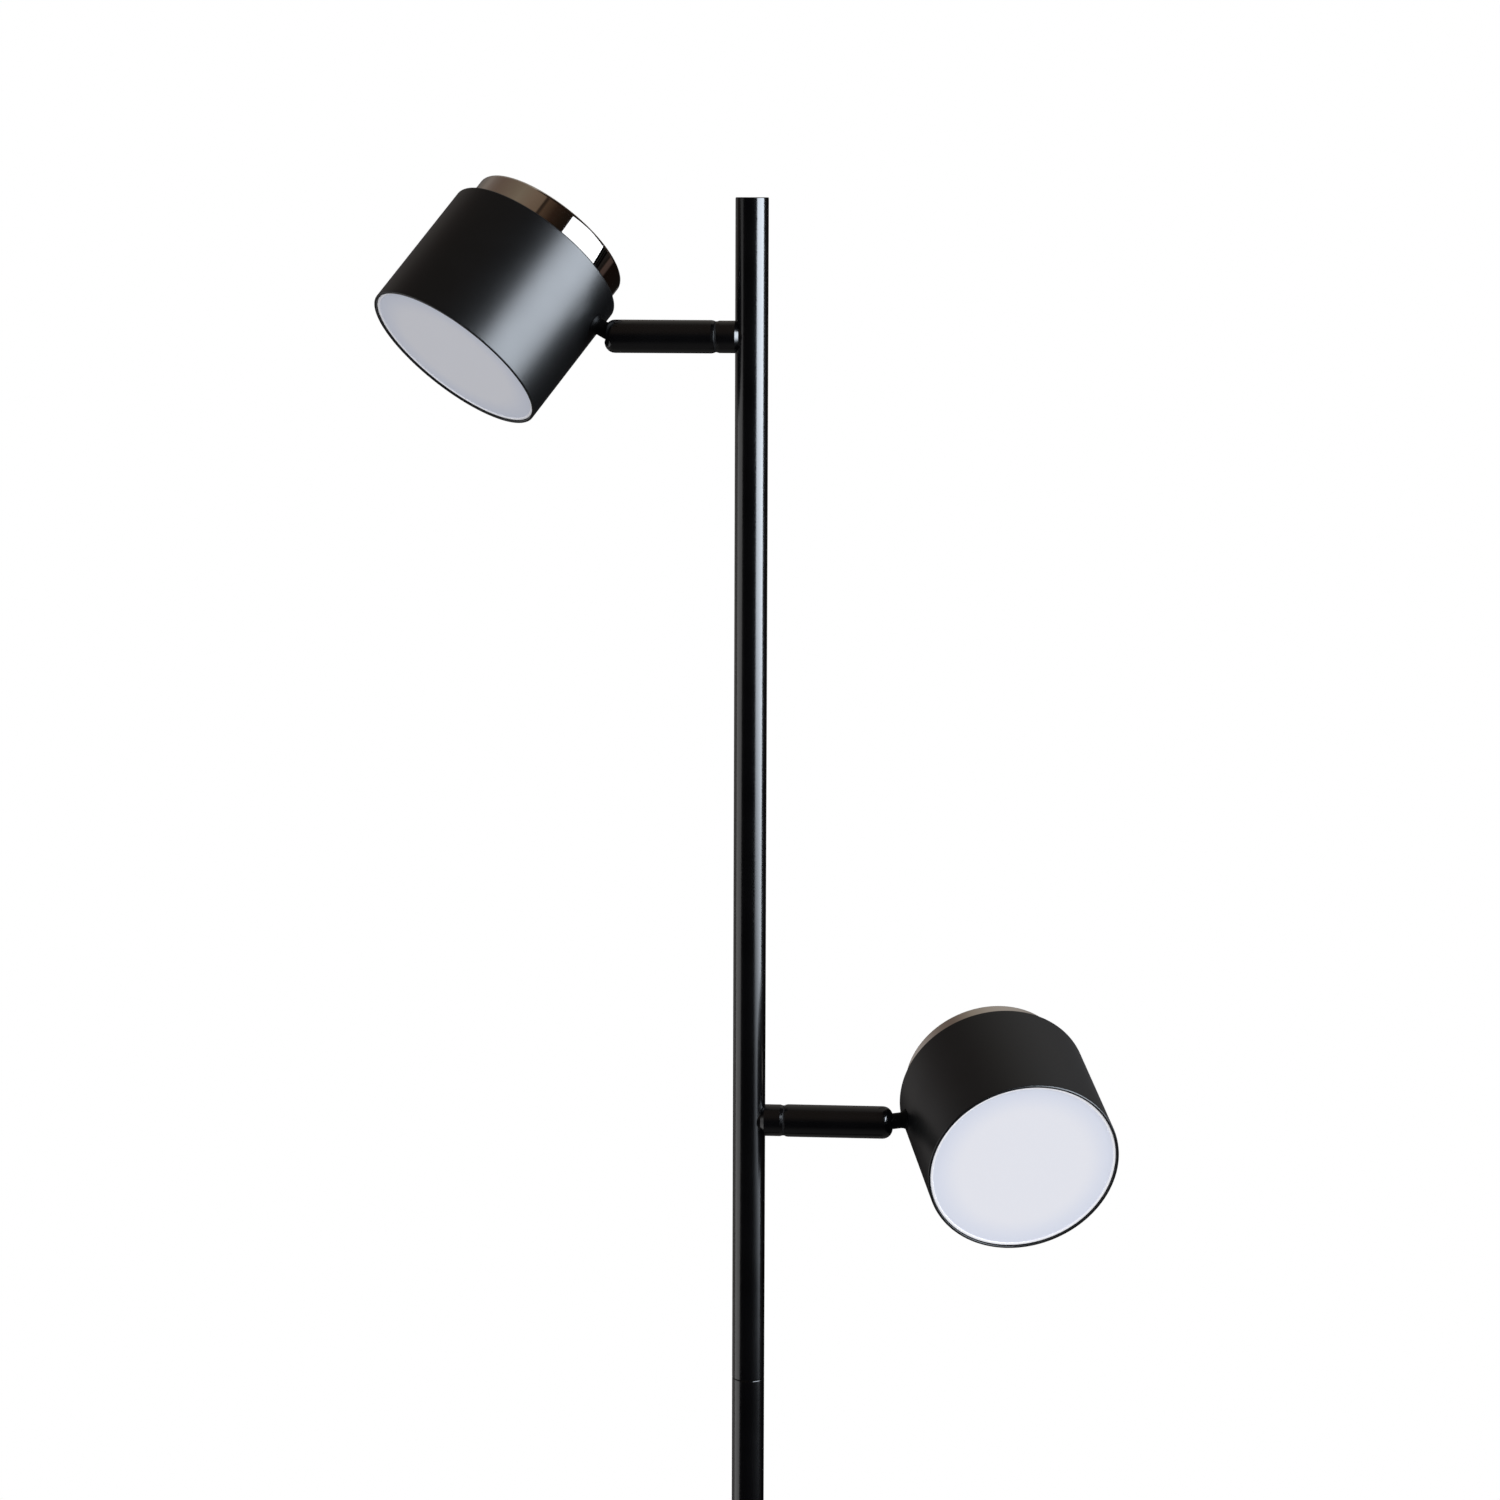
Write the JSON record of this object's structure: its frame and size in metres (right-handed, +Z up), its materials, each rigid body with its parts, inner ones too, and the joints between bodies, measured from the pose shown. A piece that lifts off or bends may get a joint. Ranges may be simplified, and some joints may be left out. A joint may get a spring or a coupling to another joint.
{
  "type": "floor lamp",
  "caption": "Floor lamp: round weighted base, sectional tube pole and two drum spotlights on short arms that turn about their own axes and tilt at slotted knuckles.",
  "frame": {"origin": "centre of the base's underside, on the floor", "axes": "+Z up along the pole, the upper arm points along -X and the lower arm along +X, the spotlights face towards -Y"},
  "size_m": [0.3654, 0.2814, 1.7776],
  "materials": {
    "black_paint": "black powder paint, satin gloss",
    "bright_cap": "polished black-nickel chrome",
    "opal_plastic": "matt opal acrylic, unlit",
    "black_rubber": "matt",
    "black_plastic": "satin",
    "zinc_steel": "zinc plated",
    "raw_iron": "as cast, primed",
    "bare_aluminium": "plain",
    "white_plastic": "moulded",
    "white_paint": "matt white"
  },
  "bodies": {
    "stand": {"base_pad": "black_rubber", "cord_bushing": "black_rubber", "base_plate": "zinc_steel", "base_stud": "zinc_steel", "base_washer": "zinc_steel", "base_nut": "zinc_steel", "foot_insert": "zinc_steel", "joint1_insert_lower": "zinc_steel", "joint1_insert_upper": "zinc_steel", "joint1_stud": "zinc_steel", "joint2_insert_lower": "zinc_steel", "joint2_insert_upper": "zinc_steel", "joint2_stud": "zinc_steel", "base_weight": "raw_iron", "base_cover": "black_paint", "foot_washer": "black_paint", "pole_lower": "black_paint", "pole_middle": "black_paint", "pole_upper": "black_paint", "top_plug": "black_plastic", "collar_upper": "black_paint", "seam_washer_upper": "black_plastic", "swivel_stud_upper": "zinc_steel", "spring_washer_upper": "zinc_steel", "swivel_nut_upper": "zinc_steel", "collar_lower": "black_paint", "seam_washer_lower": "black_plastic", "swivel_stud_lower": "zinc_steel", "spring_washer_lower": "zinc_steel", "swivel_nut_lower": "zinc_steel"},
    "upper_arm": {"arm_upper": "black_paint", "pivot_pin_front_upper": "black_paint", "pivot_pin_back_upper": "black_paint"},
    "upper_head": {"neck_upper": "black_paint", "neck_nut_upper": "zinc_steel", "shell_upper": "black_paint", "rear_cap_upper": "bright_cap", "heat_sink_upper": "bare_aluminium", "light_board_upper": "bare_aluminium", "driver_upper": "white_plastic", "reflector_upper": "white_paint", "diffuser_upper": "opal_plastic"},
    "lower_arm": {"arm_lower": "black_paint", "pivot_pin_front_lower": "black_paint", "pivot_pin_back_lower": "black_paint"},
    "lower_head": {"neck_lower": "black_paint", "neck_nut_lower": "zinc_steel", "shell_lower": "black_paint", "rear_cap_lower": "bright_cap", "heat_sink_lower": "bare_aluminium", "light_board_lower": "bare_aluminium", "driver_lower": "white_plastic", "reflector_lower": "white_paint", "diffuser_lower": "opal_plastic"}
  },
  "joints": [
    {"name": "upper_arm_swivel", "type": "hinge", "parent": "stand", "child": "upper_arm", "pos_m": [-0.0174, 0, 1.701], "axis": [-1, 0, 0], "range_deg": [-205.2, 144.8]},
    {"name": "upper_head_tilt", "type": "hinge", "parent": "upper_arm", "child": "upper_head", "pos_m": [-0.0657, 0, 1.701], "axis": [0, 0.8643, -0.503], "range_deg": [-32, 58]},
    {"name": "lower_arm_swivel", "type": "hinge", "parent": "stand", "child": "lower_arm", "pos_m": [0.0174, 0, 1.3165], "axis": [1, 0, 0], "range_deg": [-106.3, 243.7]},
    {"name": "lower_head_tilt", "type": "hinge", "parent": "lower_arm", "child": "lower_head", "pos_m": [0.0657, 0, 1.3165], "axis": [0, -0.3633, 0.9317], "range_deg": [-14, 76]}
  ]
}
